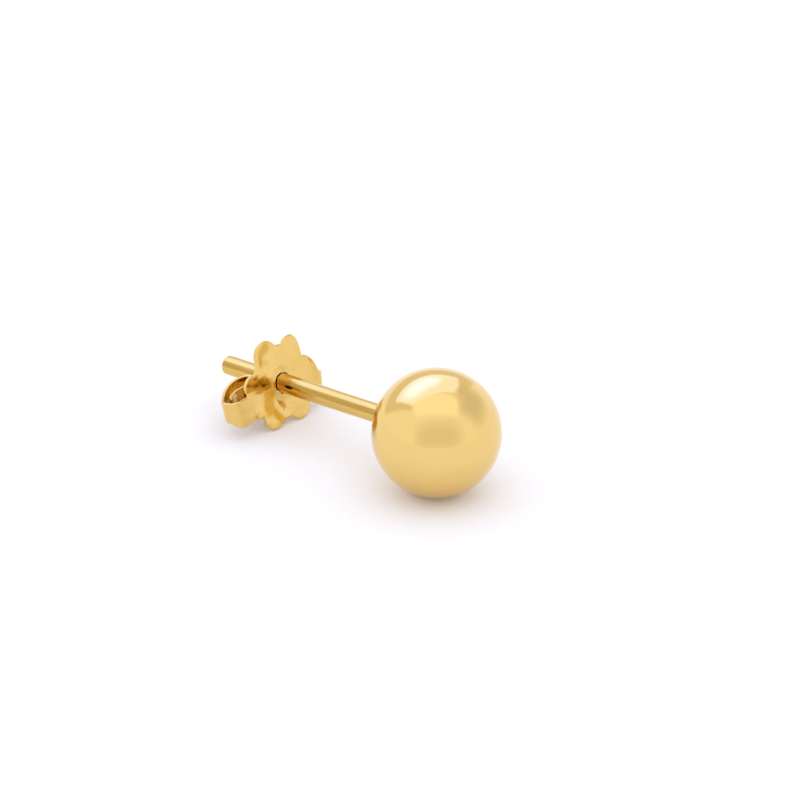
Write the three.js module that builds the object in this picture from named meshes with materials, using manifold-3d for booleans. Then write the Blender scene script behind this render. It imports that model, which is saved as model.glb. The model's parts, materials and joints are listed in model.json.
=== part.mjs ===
// Ball stud earring: a polished ball soldered to a straight post, and the
// scroll back that slides on the post. Millimetres, +Z up, lying at rest on
// the ball and on the two lower petals of the back.
import * as THREE from 'three';
import { mergeVertices } from 'three/addons/utils/BufferGeometryUtils.js';
import Module from 'manifold-3d';

// ---- driving dimensions ----
const BALL_DIAMETER = 5;
const POST_DIAMETER = 0.75;
const STUD_LENGTH = 11.35;      // ball centre to the tip of the post
const TIP_ROUNDING = 0.11;      // radius of the broken edge at the tip
const SOLDER_FILLET = 0.16;     // radius of the solder between ball and post
const BACK_PLACE = 8.45;        // ball centre to the front face of the back
const SHEET = 0.12;             // thickness of the stamped sheet
const RUNNING_GAP = 0.04;       // radial gap between the post and the hole
const PLATE_LEAN = 10;          // degrees that the plate leans back on the post

// the stamped plate: a disc with four round petals, and a shoulder above and a
// heel below where each arm leaves it; near is -Y, far is +Y
const DISC_RADIUS = 1.43;
const PETALS = [
  { side: 'near', edge: 'top', along: 0.45, up: 1.16, radius: 0.59 },
  { side: 'far', edge: 'top', along: 0.8, up: 1.17, radius: 0.43 },
  { side: 'near', edge: 'bottom', along: 0.64, up: 1.13, radius: 0.55 },
  { side: 'far', edge: 'bottom', along: 0.69, up: 1.16, radius: 0.52 },
];
const SHOULDERS = {
  near: { along: 1.42, up: 0.28, radius: 0.44 },
  far: { along: 1.5, up: -0.2, radius: 0.86 },
};
const HEEL = { along: 2.27, up: 0.5, radius: 0.6 };
const EDGE_BLEND = 0.05;        // how softly neighbouring arcs of the outline meet

// each arm, from the centre of the plate to its rolled end: the length of
// every fold and the angle that the sheet turns through along it, in degrees
const FOLDS = [
  { length: 1.45, turn: 0 },
  { length: 0.45, turn: 14 },
  { length: 0.35, turn: 0 },
  { length: 1.0, turn: -148 },
  { length: 0.62, turn: -4 },
  { length: 0.8, turn: -26 },
  { length: 0.65, turn: -34 },
  { length: 1.06, turn: -154 },
  { length: 0.65, turn: -8 },
  { length: 0.55, turn: 22 },
  { length: 0.45, turn: 16 },
];
const ARM_START = 1.3;          // where an arm leaves the plate
const ARM_TOP = { start: 0.04, end: 0.24 };                 // upper edge, from the post's axis
const ARM_BOTTOM = { start: 1.02, end: 0.86 };              // lower edge, below the post's axis

// the two arms were rolled by hand and differ: how far each reaches out and
// back, as a factor, how far its curl slants out and how far it droops, both
// for each unit of length
const CURLS = {
  near: { out: 1.05, depth: 0.93, slant: 0.2, droop: 0 },
  far: { out: 0.58, depth: 0.66, slant: 0, droop: 0.36 },
};

// how finely the pieces are cut
const ROUND_STEPS = 48;
const BALL_STEPS = 24;
const FILLET_STEPS = 5;
const PLATE_STEP = 0.11;
const ARM_STEP = 0.19;
const ACROSS_STEPS = 8;

const ballRadius = BALL_DIAMETER / 2;
const postRadius = POST_DIAMETER / 2;
const holeRadius = postRadius + RUNNING_GAP;
const armLength = FOLDS.reduce((sum, fold) => sum + fold.length, 0);
const rad = THREE.MathUtils.degToRad;
const ease = THREE.MathUtils.smoothstep;

const polishedGold = new THREE.MeshStandardMaterial({ color: 0xeed082, roughness: 0.12, metalness: 1 });
const drawnGold = new THREE.MeshStandardMaterial({ color: 0xe2bd62, roughness: 0.22, metalness: 1 });

// ---- ball and post, one soldered piece ----
// points on a quarter or part circle of the profile, as (radius, along) pairs
function arc(centre, radius, from, to, steps) {
  const points = [];
  for (let i = 0; i <= steps; i += 1) {
    const angle = from + (to - from) * i / steps;
    points.push(new THREE.Vector2(
      centre.x + radius * Math.cos(angle),
      centre.y + radius * Math.sin(angle),
    ));
  }
  return points;
}

function makeStud() {
  const fillet = new THREE.Vector2(
    postRadius + SOLDER_FILLET,
    -Math.sqrt((ballRadius + SOLDER_FILLET) ** 2 - (postRadius + SOLDER_FILLET) ** 2),
  );
  const solderAngle = Math.atan2(fillet.y, fillet.x);
  const tip = new THREE.Vector2(postRadius - TIP_ROUNDING, TIP_ROUNDING - STUD_LENGTH);
  const centre = new THREE.Vector2(0, 0);
  const profile = [
    new THREE.Vector2(0, -STUD_LENGTH),
    ...arc(tip, TIP_ROUNDING, -Math.PI / 2, 0, FILLET_STEPS),
    ...arc(fillet, SOLDER_FILLET, Math.PI, Math.PI + solderAngle, FILLET_STEPS),
    ...arc(centre, ballRadius, solderAngle, Math.PI / 2, BALL_STEPS).slice(1, -1),
    new THREE.Vector2(0, ballRadius),
  ];
  const stud = new THREE.LatheGeometry(profile, ROUND_STEPS);
  stud.rotateZ(-Math.PI / 2);
  return stud;
}

// ---- scroll back, one stamped and rolled sheet ----
// the folded middle line of an arm: how far out and forward it is at a distance
function foldedLine(distance) {
  const place = { out: 0, forward: 0 };
  let heading = 0;
  let left = distance;
  for (const fold of FOLDS) {
    const length = Math.min(left, fold.length);
    const turn = rad(fold.turn) * length / fold.length;
    const chord = turn === 0 ? length : 2 * length / turn * Math.sin(turn / 2);
    place.out += chord * Math.cos(heading + turn / 2);
    place.forward += chord * Math.sin(heading + turn / 2);
    heading += turn;
    left -= length;
    if (left <= 0) break;
  }
  return place;
}

// height of an outline made of overlapping round lobes, blended where they meet
function outline(along, lobes, base) {
  let total = Math.exp(base / EDGE_BLEND);
  for (const lobe of lobes) {
    const offset = (along - lobe.along) / lobe.radius;
    if (Math.abs(offset) < 1) {
      const height = lobe.up + lobe.radius * Math.sqrt(1 - offset ** 2);
      total += Math.exp(height / EDGE_BLEND);
    }
  }
  return EDGE_BLEND * Math.log(total);
}

const disc = { along: 0, up: 0, radius: DISC_RADIUS };

// the petals of one edge, with the far side counted as positive
function petals(edge) {
  const chosen = PETALS.filter((petal) => petal.edge === edge);
  return chosen.map((petal) => ({ ...petal, along: petal.side === 'far' ? petal.along : -petal.along }));
}

function topEdge(along) {
  const distance = Math.abs(along);
  const base = THREE.MathUtils.lerp(ARM_TOP.start, ARM_TOP.end, ease(distance, 3.5, 5.5));
  const shoulder = along > 0 ? SHOULDERS.far : SHOULDERS.near;
  const root = outline(distance, [shoulder], base);
  return outline(along, [disc, ...petals('top')], root);
}

function bottomEdge(along) {
  const distance = Math.abs(along);
  const base = THREE.MathUtils.lerp(ARM_BOTTOM.start, ARM_BOTTOM.end, ease(distance, 2.4, 3));
  const inPlate = ease(distance, 0.9, 1.25);
  const root = outline(distance, [HEEL], base * inPlate);
  return -outline(along, [disc, ...petals('bottom')], root);
}

// a point of the sheet's middle surface, in the back's own frame: x forward
// along the post, y across, z up
function sheetPoint(along, across) {
  const distance = Math.abs(along);
  const side = along > 0 ? 1 : -1;
  const curl = along > 0 ? CURLS.far : CURLS.near;
  const line = foldedLine(distance);
  const level = THREE.MathUtils.lerp(bottomEdge(along), topEdge(along), across);
  const inArm = ease(distance, ARM_START, ARM_START + 1);
  const nearPost = ease(distance, 3.4, 4.6);
  const armOut = Math.max(0, line.out - ARM_START) * curl.out;
  const out = Math.min(line.out, ARM_START) + armOut + curl.slant * level * inArm * (1 - nearPost);
  const lean = -Math.tan(rad(PLATE_LEAN)) * level * (1 - inArm);
  return new THREE.Vector3(
    line.forward * curl.depth + lean,
    side * out,
    level - curl.droop * armOut,
  );
}

function stations() {
  const places = [0];
  let distance = 0;
  while (distance < armLength - 1e-6) {
    const step = distance < 2.2 ? PLATE_STEP : ARM_STEP;
    distance = Math.min(armLength, distance + step);
    if (armLength - distance < step / 2) distance = armLength;
    places.push(distance);
    places.unshift(-distance);
  }
  return places;
}

function makeSheet() {
  const places = stations();
  const rows = ACROSS_STEPS + 1;
  const nudge = 1e-3;
  const front = [];
  const rear = [];
  for (const along of places) {
    for (let j = 0; j < rows; j += 1) {
      const across = j / ACROSS_STEPS;
      const here = sheetPoint(along, across);
      const back = Math.min(Math.max(along - nudge, -armLength), armLength);
      const ahead = Math.min(Math.max(along + nudge, -armLength), armLength);
      const alongway = sheetPoint(ahead, across).sub(sheetPoint(back, across));
      const lower = sheetPoint(along, Math.max(0, across - nudge));
      const upway = sheetPoint(along, Math.min(1, across + nudge)).sub(lower);
      const normal = alongway.cross(upway).normalize().multiplyScalar(SHEET / 2);
      front.push(here.clone().add(normal));
      rear.push(here.clone().sub(normal));
    }
  }
  const points = [...front, ...rear];
  const positions = new Float32Array(points.length * 3);
  points.forEach((point, i) => point.toArray(positions, i * 3));
  const half = front.length;
  const index = [];
  const quad = (a, b, c, d) => index.push(a, b, c, a, c, d);
  for (let i = 0; i + 1 < places.length; i += 1) {
    for (let j = 0; j + 1 < rows; j += 1) {
      const a = i * rows + j;
      const b = a + rows;
      quad(a, b, b + 1, a + 1);
      quad(half + a, half + a + 1, half + b + 1, half + b);
    }
    const low = i * rows;
    const high = low + rows - 1;
    quad(low, half + low, half + low + rows, low + rows);
    quad(high, high + rows, half + high + rows, half + high);
  }
  const last = (places.length - 1) * rows;
  for (let j = 0; j + 1 < rows; j += 1) {
    quad(j, j + 1, half + j + 1, half + j);
    quad(last + j, half + last + j, half + last + j + 1, last + j + 1);
  }
  const sheet = new THREE.BufferGeometry();
  sheet.setAttribute('position', new THREE.BufferAttribute(positions, 3));
  sheet.setIndex(index);
  return sheet;
}

const wasm = await Module();
wasm.setup();

function toSolid(geometry) {
  const bare = geometry.clone();
  bare.deleteAttribute('normal');
  bare.deleteAttribute('uv');
  const merged = mergeVertices(bare, 1e-5);
  return new wasm.Manifold(new wasm.Mesh({
    numProp: 3,
    vertProperties: new Float32Array(merged.attributes.position.array),
    triVerts: new Uint32Array(merged.index.array),
  }));
}

function toGeometry(solid) {
  const mesh = solid.getMesh();
  const geometry = new THREE.BufferGeometry();
  geometry.setAttribute('position', new THREE.BufferAttribute(mesh.vertProperties, 3));
  geometry.setIndex(new THREE.BufferAttribute(mesh.triVerts, 1));
  geometry.computeVertexNormals();
  return geometry;
}

function makeBack() {
  const piercing = new THREE.CylinderGeometry(holeRadius, holeRadius, 2, ROUND_STEPS);
  piercing.rotateZ(Math.PI / 2);
  return toGeometry(toSolid(makeSheet()).subtract(toSolid(piercing)));
}

// ---- assembly, laid down on a flat surface ----
const studGeometry = makeStud();
const backGeometry = makeBack();
backGeometry.translate(-BACK_PLACE, 0, 0);

// lowest height of a geometry once the post's tip has dropped by an angle
function lowest(geometry, drop) {
  const place = geometry.attributes.position;
  let low = Infinity;
  for (let i = 0; i < place.count; i += 1) {
    low = Math.min(low, place.getX(i) * Math.sin(drop) + place.getZ(i) * Math.cos(drop));
  }
  return low;
}

// the tip drops until the petals stand on the same surface as the ball
let drop = 0;
for (let half = rad(10); half > 1e-7; half /= 2) {
  if (lowest(backGeometry, drop) > -ballRadius) drop += half;
  else drop -= half;
}

const earring = new THREE.Group();
const ballOnPost = new THREE.Mesh(studGeometry, polishedGold);
ballOnPost.name = 'ball_on_post';
const scrollBack = new THREE.Mesh(backGeometry, drawnGold);
scrollBack.name = 'scroll_back';
earring.add(ballOnPost, scrollBack);
earring.rotation.y = -drop;
earring.updateMatrixWorld(true);
const box = new THREE.Box3().setFromObject(earring, true);
const middle = box.getCenter(new THREE.Vector3());
earring.position.set(-middle.x, -middle.y, -box.min.z);

const group = new THREE.Group();
group.add(earring);

export default group;
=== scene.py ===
import json
import math
import bmesh
import bpy
from mathutils import Matrix, Vector


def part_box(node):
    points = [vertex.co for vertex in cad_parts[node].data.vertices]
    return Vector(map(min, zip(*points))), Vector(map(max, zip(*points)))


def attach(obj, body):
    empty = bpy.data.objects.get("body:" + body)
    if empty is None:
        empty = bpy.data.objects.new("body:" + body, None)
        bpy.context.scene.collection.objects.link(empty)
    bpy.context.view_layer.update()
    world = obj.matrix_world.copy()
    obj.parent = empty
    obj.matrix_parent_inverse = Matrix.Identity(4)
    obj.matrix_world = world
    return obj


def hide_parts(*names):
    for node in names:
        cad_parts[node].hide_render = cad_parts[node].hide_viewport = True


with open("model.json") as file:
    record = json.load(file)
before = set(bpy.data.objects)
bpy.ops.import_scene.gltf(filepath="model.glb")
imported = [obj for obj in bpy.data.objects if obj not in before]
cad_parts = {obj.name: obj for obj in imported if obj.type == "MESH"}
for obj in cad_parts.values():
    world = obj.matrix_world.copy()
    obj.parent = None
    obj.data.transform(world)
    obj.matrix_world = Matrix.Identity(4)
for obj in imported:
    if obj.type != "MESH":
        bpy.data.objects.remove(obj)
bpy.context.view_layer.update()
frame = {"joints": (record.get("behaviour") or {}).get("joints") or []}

# Ball and post: a hollow ball of yellow gold, polished to a mirror on a felt
# wheel, with a straight post of drawn gold wire soldered square to it. The
# post's free end is cut flat and its edge is broken by a burnisher.
MM = 0.001
BALL_RADIUS = 2.5
POST_RADIUS = 0.375
STUD_LENGTH = 11.35
TIP_ROUNDING = 0.11
SOLDER_FILLET = 0.16
# the dark mark on the post is a painted reflection of something dark, fixed to the wire
MARK_ALONG = 7.65         # from the ball's centre to the dark mark on the post
MARK_ROUND = 2.89         # how far round the wire from across the mark is, in radians
MARK_LENGTH = 0.24        # half the mark's length along the post
MARK_WIDTH = 0.17         # half the mark's width, in radians round the wire
BAND_ROUND = 2.92         # where the painted reflection band runs, in radians round the wire from across
BAND_CORE = 0.14          # how far to each side of its middle the band is at its full tone
BAND_REACH = 0.34         # how far to each side it fades out
BAND_WANDER = 0.55
MIRROR, WIRE, SOLDER = 0, 1, 2
AROUND = 160
POST_STEPS = 60
BALL_STEPS = 90
ROUNDING_STEPS = 10

post_axis = Vector(frame["joints"][0]["axis"]).normalized()
# the ball touches the stud's box at its highest x, y and z
stud_high = Vector(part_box("ball_on_post")[1])
ball_centre = stud_high - Vector((1, 1, 1)) * BALL_RADIUS * MM


def lying(origin):
    """The place of a piece drawn with x along the post, y across and z up."""
    across = Vector((0, 1, 0))
    up = post_axis.cross(across)
    turn = Matrix((post_axis, across, up)).transposed()
    return Matrix.Translation(origin) @ turn.to_4x4()


def smooth(value, low, high):
    """0 below low, 1 above high, and an even S between them."""
    share = min(max((value - low) / (high - low), 0), 1)
    return share * share * (3 - 2 * share)


def bend(centre, radius, start, end, steps):
    """Points on an arc of the stud's outline, as (radius, along) in mm."""
    turns = [start + (end - start) * i / steps for i in range(steps + 1)]
    return [(centre[0] + radius * math.cos(t), centre[1] + radius * math.sin(t)) for t in turns]


def to_piece(name, mesh, place, materials):
    """A piece from a mesh drawn in mm along the post, which each point remembers."""
    drawn = mesh.attributes.new("drawn_mm", "FLOAT_VECTOR", "POINT")
    for point, kept in zip(mesh.vertices, drawn.data):
        kept.vector = point.co
    mesh.transform(place @ Matrix.Scale(MM, 4))
    for material in materials:
        mesh.materials.append(material)
    piece = bpy.data.objects.new(name, mesh)
    bpy.context.scene.collection.objects.link(piece)
    return piece


def linear(colour):
    """A hex sRGB colour such as "eed082" as linear light."""
    parts = [int(colour[i:i + 2], 16) / 255 for i in (0, 2, 4)]
    return [c / 12.92 if c <= 0.04045 else ((c + 0.055) / 1.055) ** 2.4 for c in parts] + [1]


def add(tree, kind, settings=None, links=None):
    """Adds a node, with its settings by property or socket, and its links."""
    made = tree.nodes.new("ShaderNode" + kind)
    for key, value in (settings or {}).items():
        if isinstance(key, str) and key not in made.inputs:
            setattr(made, key, value)
        else:
            made.inputs[key].default_value = value
    for key, source in (links or {}).items():
        tree.links.new(source, made.inputs[key])
    return made


def blank(name):
    """A new material with its node tree, its shader and its place on the piece."""
    material = bpy.data.materials.new(name)
    material.use_nodes = True
    tree = material.node_tree
    place = add(tree, "Attribute", {"attribute_name": "drawn_mm"}).outputs["Vector"]
    return material, tree, tree.nodes["Principled BSDF"], place


# Yellow gold, mirror polished: pale and bright, with the faint waves that felt
# leaves on thin metal, a breath of haze, and a few hairlines from handling.
def polished_gold():
    material, tree, shader, place = blank("yellow_gold_mirror_polished")
    shader.inputs["Metallic"].default_value = 1
    waves = add(tree, "TexNoise", {"Scale": 1 / 2.2, "Detail": 1}, {"Vector": place})
    haze = add(tree, "TexNoise", {"Scale": 1 / 0.9, "Detail": 4}, {"Vector": place})
    # hairlines run long one way: real ones are microns wide, and these are about 0.05 mm
    lay = add(tree, "Mapping", {"Rotation": (0.5, 0.9, 0.3), "Scale": (0.09, 1, 1)}, {"Vector": place})
    hairs = add(tree, "TexNoise", {"Scale": 1 / 0.05, "Detail": 2}, {"Vector": lay.outputs[0]})
    cuts = add(tree, "MapRange", {"From Min": 0.66, "From Max": 0.74}, {"Value": hairs.outputs["Fac"]})
    gold = add(tree, "Mix", {"data_type": "RGBA", 6: linear("eaca80"), 7: linear("e8c678")},
               {0: haze.outputs["Fac"]})
    polish = add(tree, "MapRange", {"From Min": 0.3, "From Max": 0.75, "To Min": 0.075, "To Max": 0.13},
                 {"Value": haze.outputs["Fac"]})
    dulled = add(tree, "Math", {"operation": "MULTIPLY_ADD", 1: 0.05},
                 {0: cuts.outputs[0], 2: polish.outputs[0]})
    swell = add(tree, "Bump", {"Strength": 1, "Distance": 0.03 * MM}, {"Height": waves.outputs["Fac"]})
    scratched = add(tree, "Bump", {"Strength": 0.3, "Distance": 0.0006 * MM, "invert": True},
                    {"Height": cuts.outputs[0], "Normal": swell.outputs[0]})
    tree.links.new(gold.outputs[2], shader.inputs["Base Color"])
    tree.links.new(dulled.outputs[0], shader.inputs["Roughness"])
    tree.links.new(scratched.outputs[0], shader.inputs["Normal"])
    return material


# Yellow gold, drawn wire: the die leaves fine lines along the post, which
# stretch its highlights, and the back has rubbed faint rings where it slides.
def drawn_gold():
    material, tree, shader, place = blank("yellow_gold_drawn_wire")
    shader.inputs["Metallic"].default_value = 1
    # die lines run along the wire, and are drawn about 0.09 mm apart so that they show
    lines = add(tree, "Mapping", {"Scale": (0.03, 1, 1)}, {"Vector": place})
    die = add(tree, "TexNoise", {"Scale": 1 / 0.09, "Detail": 3}, {"Vector": lines.outputs[0]})
    rings = add(tree, "Mapping", {"Scale": (1, 0.12, 0.12)}, {"Vector": place})
    rub = add(tree, "TexNoise", {"Scale": 1 / 0.14, "Detail": 2}, {"Vector": rings.outputs[0]})
    dents = add(tree, "TexNoise", {"Scale": 1 / 0.6, "Detail": 2}, {"Vector": place})
    plain = add(tree, "Mix", {"data_type": "RGBA", 6: linear("e6c472"), 7: linear("d6aa4e")},
                {0: die.outputs["Fac"]})
    # painted reflection: one darker, browner band, the dark surroundings mirrored in the wire, runs along
    # it at a fixed place round it and wanders a little
    spread = add(tree, "SeparateXYZ", {}, {0: place})
    round_wire = add(tree, "Math", {"operation": "ARCTAN2"}, {0: spread.outputs[2], 1: spread.outputs[1]})
    wander = add(tree, "Math", {"operation": "MULTIPLY_ADD", 1: BAND_WANDER},
                 {0: die.outputs["Fac"], 2: round_wire.outputs[0]})
    off = add(tree, "Math", {"operation": "SUBTRACT", 1: BAND_ROUND}, {0: wander.outputs[0]})
    near_band = add(tree, "Math", {"operation": "ABSOLUTE"}, {0: off.outputs[0]})
    band_tone = {"From Min": BAND_CORE, "From Max": BAND_REACH, "To Min": 0.75, "To Max": 0}
    band = add(tree, "MapRange", band_tone, {"Value": near_band.outputs[0]})
    banded = add(tree, "Mix", {"data_type": "RGBA", 7: linear("a88440")},
                 {0: band.outputs[0], 6: plain.outputs[2]})
    # painted reflection: one dark oval, something dark mirrored in the wire, painted as colour fixed to
    # the wire just before the back
    mark_along = add(tree, "Math",
                     {"operation": "MULTIPLY_ADD", 1: 1 / MARK_LENGTH, 2: MARK_ALONG / MARK_LENGTH},
                     {0: spread.outputs[0]})
    mark_round = add(tree, "Math",
                     {"operation": "MULTIPLY_ADD", 1: 1 / MARK_WIDTH, 2: -MARK_ROUND / MARK_WIDTH},
                     {0: round_wire.outputs[0]})
    mark_place = add(tree, "CombineXYZ", {}, {0: mark_along.outputs[0], 1: mark_round.outputs[0]})
    mark_reach = add(tree, "VectorMath", {"operation": "LENGTH"}, {0: mark_place.outputs[0]})
    mark = add(tree, "MapRange", {"From Min": 0.75, "From Max": 1.1, "To Min": 1, "To Max": 0},
               {"Value": mark_reach.outputs["Value"]})
    gold = add(tree, "Mix", {"data_type": "RGBA", 7: linear("1c0e04")},
               {0: mark.outputs[0], 6: banded.outputs[2]})
    sheen = add(tree, "MapRange", {"From Min": 0.3, "From Max": 0.75, "To Min": 0.1, "To Max": 0.24},
                {"Value": die.outputs["Fac"]})
    uneven = add(tree, "Bump", {"Strength": 1, "Distance": 0.006 * MM}, {"Height": dents.outputs["Fac"]})
    lined = add(tree, "Bump", {"Strength": 1, "Distance": 0.0022 * MM},
                {"Height": die.outputs["Fac"], "Normal": uneven.outputs[0]})
    rubbed = add(tree, "Bump", {"Strength": 1, "Distance": 0.0008 * MM},
                 {"Height": rub.outputs["Fac"], "Normal": lined.outputs[0]})
    tree.links.new(gold.outputs[2], shader.inputs["Base Color"])
    tree.links.new(sheen.outputs[0], shader.inputs["Roughness"])
    tree.links.new(rubbed.outputs[0], shader.inputs["Normal"])
    return material


# Gold solder, flowed and pickled: a shade paler than the wire, with a frozen
# ripple that breaks its highlight into a bright bead where post meets ball.
def flowed_solder():
    material, tree, shader, place = blank("gold_solder_flowed")
    shader.inputs["Metallic"].default_value = 1
    ripple = add(tree, "TexNoise", {"Scale": 1 / 0.16, "Detail": 2}, {"Vector": place})
    gold = add(tree, "Mix", {"data_type": "RGBA", 6: linear("eed48c"), 7: linear("dfbc60")},
               {0: ripple.outputs["Fac"]})
    skin = add(tree, "MapRange", {"To Min": 0.12, "To Max": 0.3}, {"Value": ripple.outputs["Fac"]})
    frozen = add(tree, "Bump", {"Strength": 1, "Distance": 0.02 * MM}, {"Height": ripple.outputs["Fac"]})
    tree.links.new(gold.outputs[2], shader.inputs["Base Color"])
    tree.links.new(skin.outputs[0], shader.inputs["Roughness"])
    tree.links.new(frozen.outputs[0], shader.inputs["Normal"])
    return material


def turn_stud():
    """The ball, solder and post as one closed skin, turned about the post."""
    fillet_out = POST_RADIUS + SOLDER_FILLET
    fillet_along = -math.sqrt((BALL_RADIUS + SOLDER_FILLET) ** 2 - fillet_out ** 2)
    flow = math.atan2(fillet_along, fillet_out)
    tip = (POST_RADIUS - TIP_ROUNDING, TIP_ROUNDING - STUD_LENGTH)
    outline = bend(tip, TIP_ROUNDING, -math.pi / 2, 0, ROUNDING_STEPS)
    for i in range(1, POST_STEPS):
        outline.append((POST_RADIUS, tip[1] + (fillet_along - tip[1]) * i / POST_STEPS))
    solder_start = len(outline)
    solder = (fillet_out, fillet_along)
    outline += bend(solder, SOLDER_FILLET, math.pi, math.pi + flow, ROUNDING_STEPS)
    ball_start = len(outline) - 1
    outline += bend((0, 0), BALL_RADIUS, flow, math.pi / 2, BALL_STEPS)[1:-1]
    skin = bmesh.new()
    rings = []
    for out, along in outline:
        ring = []
        for i in range(AROUND):
            turn = 2 * math.pi * i / AROUND
            ring.append(skin.verts.new((along, out * math.cos(turn), out * math.sin(turn))))
        rings.append(ring)
    tip_face = skin.faces.new(rings[0][::-1])
    tip_face.material_index = WIRE
    for k in range(len(rings) - 1):
        finish = WIRE if k < solder_start else SOLDER if k < ball_start else MIRROR
        for i in range(AROUND):
            j = (i + 1) % AROUND
            face = skin.faces.new((rings[k][i], rings[k][j], rings[k + 1][j], rings[k + 1][i]))
            face.material_index = finish
            face.smooth = True
    pole = skin.verts.new((BALL_RADIUS, 0, 0))
    for i in range(AROUND):
        face = skin.faces.new((rings[-1][i], rings[-1][(i + 1) % AROUND], pole))
        face.smooth = True
    bmesh.ops.recalc_face_normals(skin, faces=skin.faces)
    mesh = bpy.data.meshes.new("ball_on_post_skin")
    skin.to_mesh(mesh)
    skin.free()
    return mesh


stud = to_piece("ball_and_post", turn_stud(), lying(ball_centre),
                [polished_gold(), drawn_gold(), flowed_solder()])
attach(stud, "stud")
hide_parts("ball_on_post")

# Scroll back: one strip of gold sheet, stamped into a four-petalled plate with
# an arm on each side, pierced for the post, then each arm rolled back by hand
# into a curl that grips the post. The shears and the tumbler round its rims.
BACK_PLACE = 8.45         # ball centre to the front face of the plate
SHEET = 0.12
HOLE_RADIUS = POST_RADIUS + 0.04
PLATE_LEAN = math.radians(10)
RIM_ROUNDING = 0.06       # how far in from an edge the tumbler has worn
DISC_RADIUS = 1.43
EDGE_BLEND = 0.05
PETALS = [
    {"side": -1, "edge": "top", "along": 0.45, "up": 1.16, "radius": 0.59},
    {"side": 1, "edge": "top", "along": 0.80, "up": 1.17, "radius": 0.43},
    {"side": -1, "edge": "bottom", "along": 0.64, "up": 1.13, "radius": 0.55},
    {"side": 1, "edge": "bottom", "along": 0.69, "up": 1.16, "radius": 0.52},
]
NEAR_SHOULDER = {"along": 1.42, "up": 0.28, "radius": 0.44}
FAR_SHOULDER = {"along": 1.5, "up": -0.2, "radius": 0.86}
HEEL = {"along": 2.27, "up": 0.5, "radius": 0.6}
# the folds of an arm, from the middle of the plate: length in mm, turn in degrees
FOLDS = [
    (1.45, 0), (0.45, 14), (0.35, 0), (1.0, -148), (0.62, -4), (0.8, -26),
    (0.65, -34), (1.06, -154), (0.65, -8), (0.55, 22), (0.45, 16),
]
ARM_LENGTH = sum(length for length, turn in FOLDS)
ARM_START = 1.3
# heights of an arm's two edges from the post's axis, at the plate and at its end
ARM_TOP = {"start": 0.04, "end": 0.24}
ARM_BOTTOM = {"start": 1.02, "end": 0.86}
SHEET_STEP = 0.035        # how far apart the rows of points along the strip are
SHEET_ROWS = 36
HOLE_SIDES = 96
CRISP_EDGE = math.radians(50)
HOLE_WALL = 1             # the material slot of the faces inside the piercing, which carry the painted shadow
NEAR_CURL = {"out": 1.05, "depth": 0.93, "slant": 0.2, "droop": 0}
FAR_CURL = {"out": 0.58, "depth": 0.66, "slant": 0, "droop": 0.36}


def folded_line(distance):
    """How far out and forward the folded arm is at a distance along it."""
    out = forward = heading = 0
    left = distance
    for fold, degrees in FOLDS:
        length = min(left, fold)
        turn = math.radians(degrees) * length / fold
        chord = length if turn == 0 else 2 * length / turn * math.sin(turn / 2)
        out += chord * math.cos(heading + turn / 2)
        forward += chord * math.sin(heading + turn / 2)
        heading += turn
        left -= length
        if left <= 0:
            break
    return out, forward


def lobed(along, lobes, base):
    """The height of an edge made of round lobes, blended where they meet."""
    total = math.exp(base / EDGE_BLEND)
    for lobe in lobes:
        offset = (along - lobe["along"]) / lobe["radius"]
        if abs(offset) < 1:
            height = lobe["up"] + lobe["radius"] * math.sqrt(1 - offset ** 2)
            total += math.exp(height / EDGE_BLEND)
    return EDGE_BLEND * math.log(total)


def edges(along):
    """The lower and the upper edge of the strip at a distance along it."""
    distance = abs(along)
    disc = {"along": 0, "up": 0, "radius": DISC_RADIUS}
    top_lobes, bottom_lobes = (
        [disc] + [{**p, "along": p["side"] * p["along"]} for p in PETALS if p["edge"] == edge]
        for edge in ("top", "bottom")
    )
    top_rise = ARM_TOP["end"] - ARM_TOP["start"]
    top_arm = ARM_TOP["start"] + top_rise * smooth(distance, 3.5, 5.5)
    bottom_rise = ARM_BOTTOM["end"] - ARM_BOTTOM["start"]
    bottom_arm = ARM_BOTTOM["start"] + bottom_rise * smooth(distance, 2.4, 3)
    bottom_arm *= smooth(distance, 0.9, 1.25)
    shoulder = FAR_SHOULDER if along > 0 else NEAR_SHOULDER
    top = lobed(along, top_lobes, lobed(distance, [shoulder], top_arm))
    bottom = -lobed(along, bottom_lobes, lobed(distance, [HEEL], bottom_arm))
    return bottom, top


def stamped_relief(along, level):
    """How far the punch and the die pushed the plate forward, in mm."""
    reach = math.hypot(along, level)
    lip = 0.09 * math.exp(-((reach - HOLE_RADIUS) / 0.13) ** 2)
    # the hollow that the folding tool presses under the hole, towards the near
    # lower petal: an easy slope on the arm's side, a steep one at the middle
    down = min(max(-level, 0), 1.7)
    offset = along + 0.5 - 0.2 * down
    width = 0.24 if offset > 0 else 0.5
    hollow = -0.12 * math.exp(-(offset / width) ** 2)
    hollow *= smooth(down, 0.02, 0.5) * (1 - smooth(down, 0.6, 1.5))
    # the near upper petal is dished by the thumb that pressed the curl home
    thumb = math.hypot(along + 0.62, level - 1.2)
    dish = -0.06 * math.exp(-(thumb / 0.34) ** 2)
    petals_back = -0.05 * smooth(level, 0.7, 1.6)
    return lip + hollow + dish + petals_back


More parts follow.
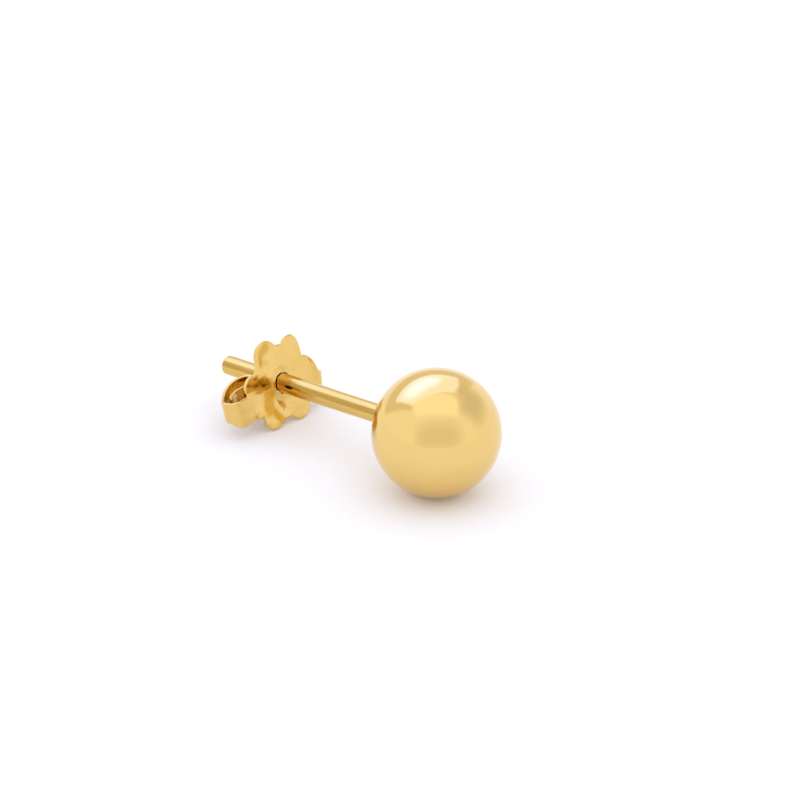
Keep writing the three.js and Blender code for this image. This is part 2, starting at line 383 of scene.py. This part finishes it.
def sheet_point(along, share):
    """A point of the sheet's middle surface: x forward, y across, z up."""
    distance = abs(along)
    curl = FAR_CURL if along > 0 else NEAR_CURL
    out, forward = folded_line(distance)
    bottom, top = edges(along)
    level = bottom + (top - bottom) * share
    in_arm = smooth(distance, ARM_START, ARM_START + 1)
    near_post = smooth(distance, 3.4, 4.6)
    arm_out = max(0, out - ARM_START) * curl["out"]
    reach = min(out, ARM_START) + arm_out + curl["slant"] * level * in_arm * (1 - near_post)
    lean = -math.tan(PLATE_LEAN) * level * (1 - in_arm)
    relief = stamped_relief(along, level) if distance < 2 else 0
    return Vector((
        forward * curl["depth"] + lean + relief,
        math.copysign(reach, along),
        level - curl["droop"] * arm_out,
    ))


def roll_sheet():
    """The stamped and rolled strip as one closed skin, before it is pierced."""
    count = round(ARM_LENGTH / SHEET_STEP)
    places = [ARM_LENGTH * i / count for i in range(-count, count + 1)]
    # rows crowd towards the two edges, where the rim turns over
    shares = [0.5 - 0.5 * math.cos(math.pi * j / SHEET_ROWS) for j in range(SHEET_ROWS + 1)]
    nudge = 1e-3
    skin = bmesh.new()
    front, rear = [], []
    for along in places:
        bottom, top = edges(along)
        front_row, rear_row = [], []
        for share in shares:
            here = sheet_point(along, share)
            ahead = sheet_point(min(along + nudge, ARM_LENGTH), share)
            behind = sheet_point(max(along - nudge, -ARM_LENGTH), share)
            higher = sheet_point(along, min(share + nudge, 1))
            lower = sheet_point(along, max(share - nudge, 0))
            normal = (ahead - behind).cross(higher - lower).normalized()
            inset = min(share, 1 - share) * (top - bottom)
            inset = min(inset, ARM_LENGTH - abs(along), RIM_ROUNDING)
            worn = math.sqrt(max(0, 1 - (1 - inset / RIM_ROUNDING) ** 2))
            half = SHEET / 2 * max(worn, 0.04)
            front_row.append(skin.verts.new(here + normal * half))
            rear_row.append(skin.verts.new(here - normal * half))
        front.append(front_row)
        rear.append(rear_row)
    for i in range(len(places) - 1):
        for j in range(SHEET_ROWS):
            skin.faces.new((front[i][j], front[i + 1][j], front[i + 1][j + 1], front[i][j + 1]))
            skin.faces.new((rear[i][j], rear[i][j + 1], rear[i + 1][j + 1], rear[i + 1][j]))
        for j in (0, SHEET_ROWS):
            skin.faces.new((front[i][j], rear[i][j], rear[i + 1][j], front[i + 1][j]))
    for i in (0, len(places) - 1):
        for j in range(SHEET_ROWS):
            skin.faces.new((front[i][j], front[i][j + 1], rear[i][j + 1], rear[i][j]))
    bmesh.ops.recalc_face_normals(skin, faces=skin.faces)
    for face in skin.faces:
        face.smooth = True
    mesh = bpy.data.meshes.new("scroll_back_skin")
    skin.to_mesh(mesh)
    skin.free()
    return mesh


def pierce(mesh):
    """Cuts the round hole for the post, along the post, through a skin in mm."""
    punch = bmesh.new()
    bmesh.ops.create_cone(punch, cap_ends=True, segments=HOLE_SIDES, radius1=HOLE_RADIUS,
                          radius2=HOLE_RADIUS, depth=2,
                          matrix=Matrix.Rotation(math.pi / 2, 4, "Y"))
    punch_mesh = bpy.data.meshes.new("punch")
    punch.to_mesh(punch_mesh)
    punch.free()
    tool = bpy.data.objects.new("punch", punch_mesh)
    blank_sheet = bpy.data.objects.new("blank_sheet", mesh)
    for work in (tool, blank_sheet):
        bpy.context.scene.collection.objects.link(work)
    cut = blank_sheet.modifiers.new("pierced", "BOOLEAN")
    cut.operation = "DIFFERENCE"
    cut.object = tool
    cut.solver = "EXACT"
    bpy.context.view_layer.update()
    finished = blank_sheet.evaluated_get(bpy.context.evaluated_depsgraph_get())
    pierced = bpy.data.meshes.new_from_object(finished)
    for work in (tool, blank_sheet):
        bpy.data.objects.remove(work)
    # the rim of the piercing stays a crisp edge, and all else is smooth
    skin = bmesh.new()
    skin.from_mesh(pierced)
    bmesh.ops.remove_doubles(skin, verts=skin.verts, dist=1e-5)
    for face in skin.faces:
        face.smooth = True
        # the faces inside the piercing get the painted shadow that darkens the gap round the post
        if all(abs(math.hypot(v.co.y, v.co.z) - HOLE_RADIUS) < 2e-3 for v in face.verts):
            face.material_index = HOLE_WALL
    for edge in skin.edges:
        if len(edge.link_faces) == 2 and edge.calc_face_angle(0) > CRISP_EDGE:
            edge.smooth = False
    skin.to_mesh(pierced)
    skin.free()
    return pierced


# painted reflection: where the plate's gold is painted a deeper orange, as gold mirrored in gold: along
# the fold from the arm's root past the hole to the near lower petal, and in the dish of the upper petal.
# depth is how strong the painted reflection is, from 0 to 1
RECESSES = [
    {"from": (-1.35, 0.4), "to": (-0.5, -0.05), "width": 0.36, "depth": 0.9},
    {"from": (-0.72, -0.2), "to": (-0.8, -0.8), "width": 0.5, "depth": 1},
    {"from": (-0.76, -0.8), "to": (-0.22, -1.55), "width": 0.27, "depth": 1},
    {"from": (-0.62, 1.35), "to": (-0.42, 1.5), "width": 0.3, "depth": 0.8},
    {"from": (-0.84, 1.0), "to": (-0.76, 1.25), "width": 0.18, "depth": 0.9},
]
PLATE_REAR = -0.45        # how far behind the hole's middle the plate gets the painted reflection


def recess(across, level):
    """How strong the painted reflection is at a place on the plate, from 0 to 1."""
    deepest = 0
    for fold in RECESSES:
        run = Vector(fold["to"]) - Vector(fold["from"])
        reach = Vector((across, level)) - Vector(fold["from"])
        share = min(max(reach.dot(run) / run.length_squared, 0), 1)
        aside = (reach - run * share).length
        fade = smooth(aside, fold["width"] * 0.35, fold["width"])
        deepest = max(deepest, fold["depth"] * (1 - fade))
    return deepest


def mark_recesses(mesh):
    """Keeps on each point of the plate how strong its painted reflection is."""
    kept = mesh.attributes.new("recess", "FLOAT", "POINT")
    for point, value in zip(mesh.vertices, kept.data):
        if point.co.x > PLATE_REAR:
            value.value = recess(point.co.y, point.co.z)
    return mesh


# Yellow gold, stamped sheet, tumbled bright: nearly as bright as the ball, but
# the rollers' grain, small knocks and the tumbler's peen break its reflections.
def tumbled_gold():
    material, tree, shader, place = blank("yellow_gold_stamped_tumbled")
    shader.inputs["Metallic"].default_value = 1
    knocks = add(tree, "TexNoise", {"Scale": 1 / 0.9, "Detail": 2}, {"Vector": place})
    peen = add(tree, "TexNoise", {"Scale": 1 / 0.22, "Detail": 3}, {"Vector": place})
    # the rollers' grain is about 0.01 mm wide, and is drawn 0.06 mm wide so that it shows
    lay = add(tree, "Mapping", {"Rotation": (0.2, 0, 0), "Scale": (0.2, 0.06, 1)}, {"Vector": place})
    grain = add(tree, "TexNoise", {"Scale": 1 / 0.06, "Detail": 2}, {"Vector": lay.outputs[0]})
    bright = add(tree, "Mix", {"data_type": "RGBA", 6: linear("eac97b"), 7: linear("e2ba64")},
                 {0: knocks.outputs["Fac"]})
    # painted reflection: the folds and the dish get a deeper orange, gold mirrored in gold, with a ragged
    # border
    sunk = add(tree, "Attribute", {"attribute_name": "recess"})
    ragged = add(tree, "Math", {"operation": "MULTIPLY_ADD", 1: 0.9, 2: -0.45}, {0: peen.outputs["Fac"]})
    patchy = add(tree, "Math", {"operation": "ADD"}, {0: ragged.outputs[0], 1: sunk.outputs["Fac"]})
    toned = add(tree, "Math", {"operation": "MULTIPLY", "use_clamp": True},
                {0: patchy.outputs[0], 1: sunk.outputs["Fac"]})
    gold = add(tree, "Mix", {"data_type": "RGBA", 7: linear("d39a32")},
               {0: toned.outputs[0], 6: bright.outputs[2]})
    shine = add(tree, "MapRange", {"From Min": 0.3, "From Max": 0.75, "To Min": 0.1, "To Max": 0.22},
                {"Value": peen.outputs["Fac"]})
    knocked = add(tree, "Bump", {"Strength": 1, "Distance": 0.07 * MM}, {"Height": knocks.outputs["Fac"]})
    peened = add(tree, "Bump", {"Strength": 1, "Distance": 0.006 * MM},
                 {"Height": peen.outputs["Fac"], "Normal": knocked.outputs[0]})
    grained = add(tree, "Bump", {"Strength": 1, "Distance": 0.0006 * MM},
                  {"Height": grain.outputs["Fac"], "Normal": peened.outputs[0]})
    tree.links.new(gold.outputs[2], shader.inputs["Base Color"])
    tree.links.new(shine.outputs[0], shader.inputs["Roughness"])
    tree.links.new(grained.outputs[0], shader.inputs["Normal"])
    return material


# Painted shadow in the piercing: a near black, rough brown on the hole's walls that makes the gap round
# the post read as a dark line, as the shade in the gap would.
def dried_compound():
    material, tree, shader, place = blank("gap_shadow_painted_dark")
    grit = add(tree, "TexNoise", {"Scale": 1 / 0.05, "Detail": 3}, {"Vector": place})
    brown = add(tree, "Mix", {"data_type": "RGBA", 6: linear("2a1606"), 7: linear("4a2a0c")},
                {0: grit.outputs["Fac"]})
    waxy = add(tree, "MapRange", {"To Min": 0.45, "To Max": 0.8}, {"Value": grit.outputs["Fac"]})
    caked = add(tree, "Bump", {"Strength": 1, "Distance": 0.01 * MM}, {"Height": grit.outputs["Fac"]})
    tree.links.new(brown.outputs[2], shader.inputs["Base Color"])
    tree.links.new(waxy.outputs[0], shader.inputs["Roughness"])
    tree.links.new(caked.outputs[0], shader.inputs["Normal"])
    return material


back_place = ball_centre - post_axis * BACK_PLACE * MM
back = to_piece("scroll_back_sheet", mark_recesses(pierce(roll_sheet())), lying(back_place),
                [tumbled_gold(), dried_compound()])
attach(back, "back")
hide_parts("scroll_back")

# Studio: a matt white table that runs out of sight, white walls all round, a
# softbox overhead and behind, and the darker gear that a mirror finish picks up.
VIEW_BEARING = math.radians(44.87)
VIEW_HEIGHT = math.radians(27)
VIEW_DISTANCE = 0.95      # in metres, as the frame's width is
FRAME_WIDTH = 0.03044
AIM = {"right": -1.393, "up": 1.249}      # from the ball's centre, in mm
SENSOR_WIDTH = 36

view_right = Vector((math.cos(VIEW_BEARING), math.sin(VIEW_BEARING), 0))
view_level = Vector((math.sin(VIEW_BEARING), -math.cos(VIEW_BEARING), 0))
view_back = view_level * math.cos(VIEW_HEIGHT) + Vector((0, 0, math.sin(VIEW_HEIGHT)))
view_up = view_back.cross(view_right)
aim = ball_centre + (view_right * AIM["right"] + view_up * AIM["up"]) * MM

lens = bpy.data.cameras.new("studio_camera")
lens.sensor_width = SENSOR_WIDTH
lens.lens = SENSOR_WIDTH * VIEW_DISTANCE / FRAME_WIDTH
lens.clip_start = 0.01
lens.clip_end = 20
camera = bpy.data.objects.new("studio_camera", lens)
turn = Matrix((view_right, view_up, view_back)).transposed()
camera.matrix_world = Matrix.Translation(aim + view_back * VIEW_DISTANCE) @ turn.to_4x4()
bpy.context.scene.collection.objects.link(camera)
bpy.context.scene.camera = camera
bpy.context.scene.view_settings.view_transform = "Standard"

# the white walls, a little brighter than paper, under cool daylight lamps
world = bpy.data.worlds.new("white_room")
world.use_nodes = True
walls = world.node_tree.nodes["Background"]
walls.inputs["Color"].default_value = (0.995, 1.0, 1.09, 1)
walls.inputs["Strength"].default_value = 1.12
bpy.context.scene.world = world

# the table: matt laminate, with the fine tooth that keeps it from shining
TABLE_REACH = 3
table_mesh = bpy.data.meshes.new("table_top")
table_mesh.from_pydata(
    [(x * TABLE_REACH, y * TABLE_REACH, 0) for x, y in ((-1, -1), (1, -1), (1, 1), (-1, 1))],
    [], [(0, 1, 2, 3)],
)
table = bpy.data.objects.new("studio_table", table_mesh)
bpy.context.scene.collection.objects.link(table)
white = bpy.data.materials.new("white_matt_laminate")
white.use_nodes = True
tree = white.node_tree
shader = tree.nodes["Principled BSDF"]
floor_place = add(tree, "TexCoord").outputs["Object"]
tooth = add(tree, "TexNoise", {"Scale": 1 / (0.5 * MM), "Detail": 2}, {"Vector": floor_place})
paint = add(tree, "Mix", {"data_type": "RGBA", 6: linear("fdfdfd"), 7: linear("fafafa")},
            {0: tooth.outputs["Fac"]})
rough = add(tree, "MapRange", {"To Min": 0.8, "To Max": 0.95}, {"Value": tooth.outputs["Fac"]})
tree.links.new(paint.outputs[2], shader.inputs["Base Color"])
tree.links.new(rough.outputs[0], shader.inputs["Roughness"])
shader.inputs["Specular IOR Level"].default_value = 0
table_mesh.materials.append(white)

# what hangs round the object: flat oblong panels that face the ball. bearing is
# degrees round from the camera, to its right, height is degrees above the table,
# and size, distance and fade, the width of a soft rim, are in metres. light is
# linear, as red, green and blue, beside the white room's 1.12
PANELS = [
    {"name": "softbox", "bearing": -160, "height": 55, "distance": 0.5, "size": (0.8, 0.5),
     "fade": 0.02, "light": (1.22, 1.36, 2.05)},
    {"name": "softbox_lamp", "bearing": -150, "height": 50, "distance": 0.48, "size": (0.6, 0.4),
     "fade": 0.2, "light": (1.4, 1.85, 4.2)},
    {"name": "softbox_housing", "bearing": -160, "height": 45, "distance": 0.54, "size": (1.3, 0.9),
     "fade": 0.08, "light": (0.92, 0.86, 0.8)},
    {"name": "ceiling_bounce", "bearing": 0, "height": 80, "distance": 0.52, "size": (0.9, 0.5),
     "fade": 0.12, "light": (1.24, 1.28, 1.42)},
    {"name": "side_flag", "bearing": 110, "height": 35, "distance": 0.55, "size": (0.9, 0.8),
     "fade": 0.35, "light": (0.84, 0.82, 0.86)},
    {"name": "camera_hood", "bearing": 5, "height": 20, "distance": 0.56, "size": (1.4, 1.0),
     "fade": 0.5, "light": (0.92, 0.91, 0.94)},
]
PANEL_STEPS = 24


def hang_panel(panel):
    """A thin panel that only shows in reflections, and thins out at its rim."""
    bearing = math.radians(panel["bearing"])
    height = math.radians(panel["height"])
    level = view_level * math.cos(bearing) + view_right * math.sin(bearing)
    way = level * math.cos(height) + Vector((0, 0, math.sin(height)))
    across = Vector((0, 0, 1)).cross(level)
    rise = way.cross(across)
    width, tall = panel["size"]
    shape = bmesh.new()
    solid = shape.verts.layers.float.new("solid")
    rows = []
    for j in range(PANEL_STEPS + 1):
        row = []
        for i in range(PANEL_STEPS + 1):
            aside = (i / PANEL_STEPS - 0.5) * width
            above = (j / PANEL_STEPS - 0.5) * tall
            place = ball_centre + way * panel["distance"] + across * aside + rise * above
            point = shape.verts.new(place)
            solid_aside = smooth(width / 2 - abs(aside), 0, panel["fade"])
            solid_above = smooth(tall / 2 - abs(above), 0, panel["fade"])
            point[solid] = solid_aside * solid_above
            row.append(point)
        rows.append(row)
    for low, high in zip(rows, rows[1:]):
        for i in range(PANEL_STEPS):
            shape.faces.new((low[i], low[i + 1], high[i + 1], high[i]))
    mesh = bpy.data.meshes.new(panel["name"])
    shape.to_mesh(mesh)
    shape.free()
    hung = bpy.data.objects.new(panel["name"], mesh)
    bpy.context.scene.collection.objects.link(hung)
    cloth = bpy.data.materials.new(panel["name"] + "_cloth")
    cloth.use_nodes = True
    tree = cloth.node_tree
    tree.nodes.clear()
    light = add(tree, "Emission", {"Color": (*panel["light"], 1), "Strength": 1})
    gap = add(tree, "BsdfTransparent")
    weave = add(tree, "Attribute", {"attribute_name": "solid"})
    shown = add(tree, "MixShader", {}, {0: weave.outputs["Fac"], 1: gap.outputs[0], 2: light.outputs[0]})
    add(tree, "OutputMaterial", {}, {"Surface": shown.outputs[0]})
    mesh.materials.append(cloth)
    hung.visible_camera = False
    hung.visible_diffuse = False
    hung.visible_shadow = False


for panel in PANELS:
    hang_panel(panel)
